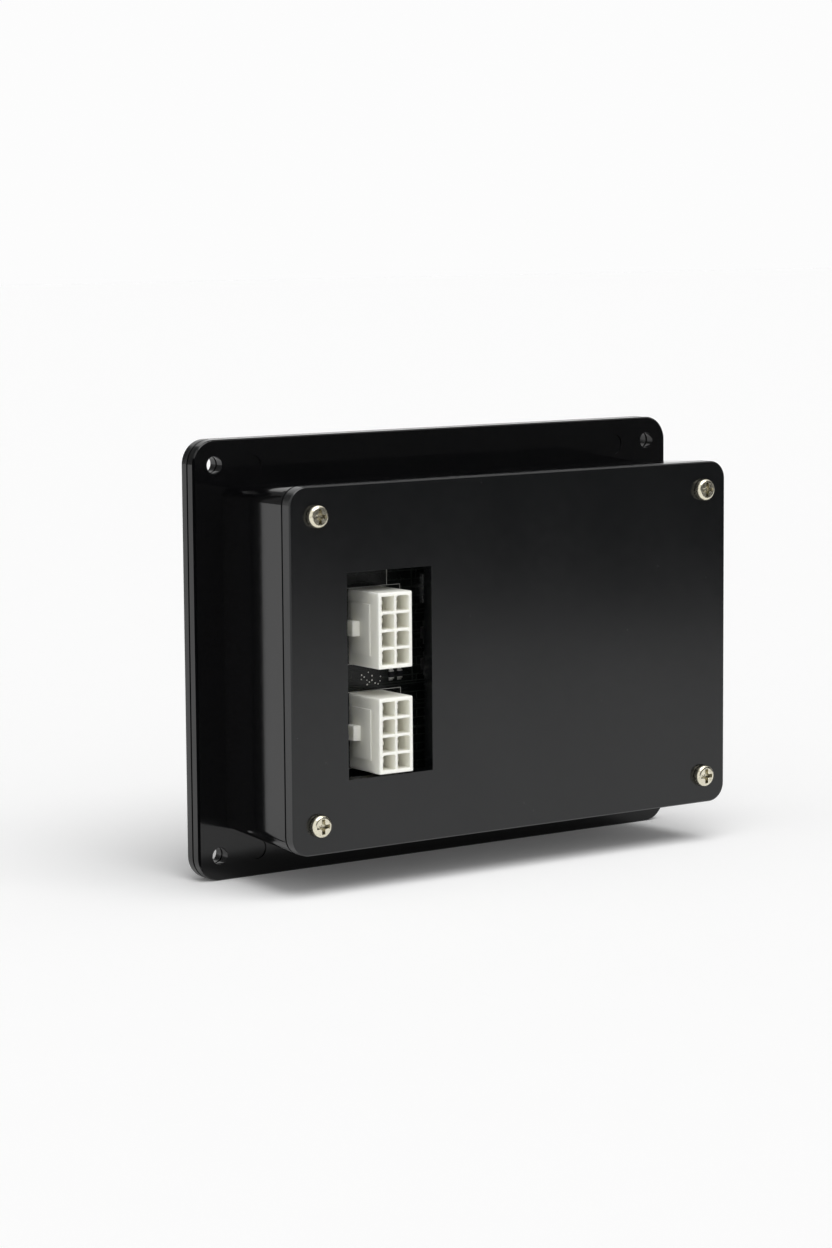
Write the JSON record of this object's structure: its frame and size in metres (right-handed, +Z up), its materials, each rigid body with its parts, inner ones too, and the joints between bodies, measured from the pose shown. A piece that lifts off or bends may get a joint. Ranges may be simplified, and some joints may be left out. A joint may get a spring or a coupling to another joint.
{
  "type": "generator control display",
  "caption": "Black panel-mount generator control display: film keypad and screen in front, boxed rear housing, screwed back cover with a window over its wire headers.",
  "frame": {"origin": "centre of the four panel holes, on the rear face of the flange, which seats on the panel", "axes": "+Y points to the rear, out of the panel holes towards the back cover and its headers; +Z is up; +X runs along the width, to the side that has the headers, and the keypad and screen face -Y"},
  "size_m": [0.1428, 0.0395, 0.1058],
  "materials": {
    "bezel_plastic": "satin black moulded plastic",
    "housing_plastic": "satin black moulded plastic",
    "cover_plastic": "satin black moulded plastic",
    "seal_rubber": "closed-cell foam, black",
    "screw_metal": "nickel-plated steel",
    "spacer_brass": "turned brass",
    "overlay_film": "fine-textured printed film",
    "spacer_film": "translucent white film",
    "dome_metal": "spring steel",
    "circuit_film": "amber film",
    "window_clear": "clear",
    "lcd_frame_metal": "black painted sheet steel",
    "lcd_glass": "grey-green liquid crystal glass",
    "backlight_plastic": "white light guide",
    "strip_rubber": "layered silicone",
    "pipe_clear": "clear",
    "led_plastic": "pale encapsulant",
    "display_board_mask": "black solder mask on glass fibre",
    "main_board_mask": "black solder mask on glass fibre",
    "nylon": "natural nylon",
    "header_pin_metal": "tin-plated",
    "link_plastic": "black moulded plastic",
    "link_pin_metal": "gold flash on brass",
    "chip_plastic": "moulded chip body with tinned feet",
    "crystal_can": "drawn can",
    "regulator_plastic": "moulded body with tinned tab and feet",
    "ferrite": "dark ferrite",
    "capacitor_can": "bare aluminium can on a black foot",
    "diode_plastic": "moulded body",
    "resistor_film": "dark glaze with tinned ends",
    "chip_cap_ceramic": "tan ceramic with tinned ends"
  },
  "bodies": {
    "root": {"front_bezel": "bezel_plastic", "rear_housing": "housing_plastic", "rear_cover": "cover_plastic", "bezel_seal": "seal_rubber", "cover_screw_1": "screw_metal", "cover_screw_2": "screw_metal", "cover_screw_3": "screw_metal", "cover_screw_4": "screw_metal", "board_screw_1": "screw_metal", "board_screw_2": "screw_metal", "board_screw_3": "screw_metal", "board_screw_4": "screw_metal", "board_spacer_1": "spacer_brass", "board_spacer_2": "spacer_brass", "board_spacer_3": "spacer_brass", "board_spacer_4": "spacer_brass", "keypad_overlay": "overlay_film", "dome_spacer_film": "spacer_film", "snap_domes": "dome_metal", "keypad_circuit_film": "circuit_film", "display_window": "window_clear", "lcd_frame": "lcd_frame_metal", "lcd_glass": "lcd_glass", "lcd_backlight": "backlight_plastic", "lcd_contact_strips": "strip_rubber", "light_pipes": "pipe_clear", "indicator_leds": "led_plastic", "display_board": "display_board_mask", "main_board": "main_board_mask", "upper_header": "nylon", "lower_header": "nylon", "tail_connector": "nylon", "upper_header_pins": "header_pin_metal", "lower_header_pins": "header_pin_metal", "link_header": "link_plastic", "link_socket": "link_plastic", "link_pins": "link_pin_metal", "processor": "chip_plastic", "bus_drivers": "chip_plastic", "display_driver": "chip_plastic", "crystal": "crystal_can", "power_regulator": "regulator_plastic", "power_inductor": "ferrite", "power_capacitors": "capacitor_can", "surge_diodes": "diode_plastic", "chip_resistors": "resistor_film", "chip_capacitors": "chip_cap_ceramic"}
  },
  "joints": []
}
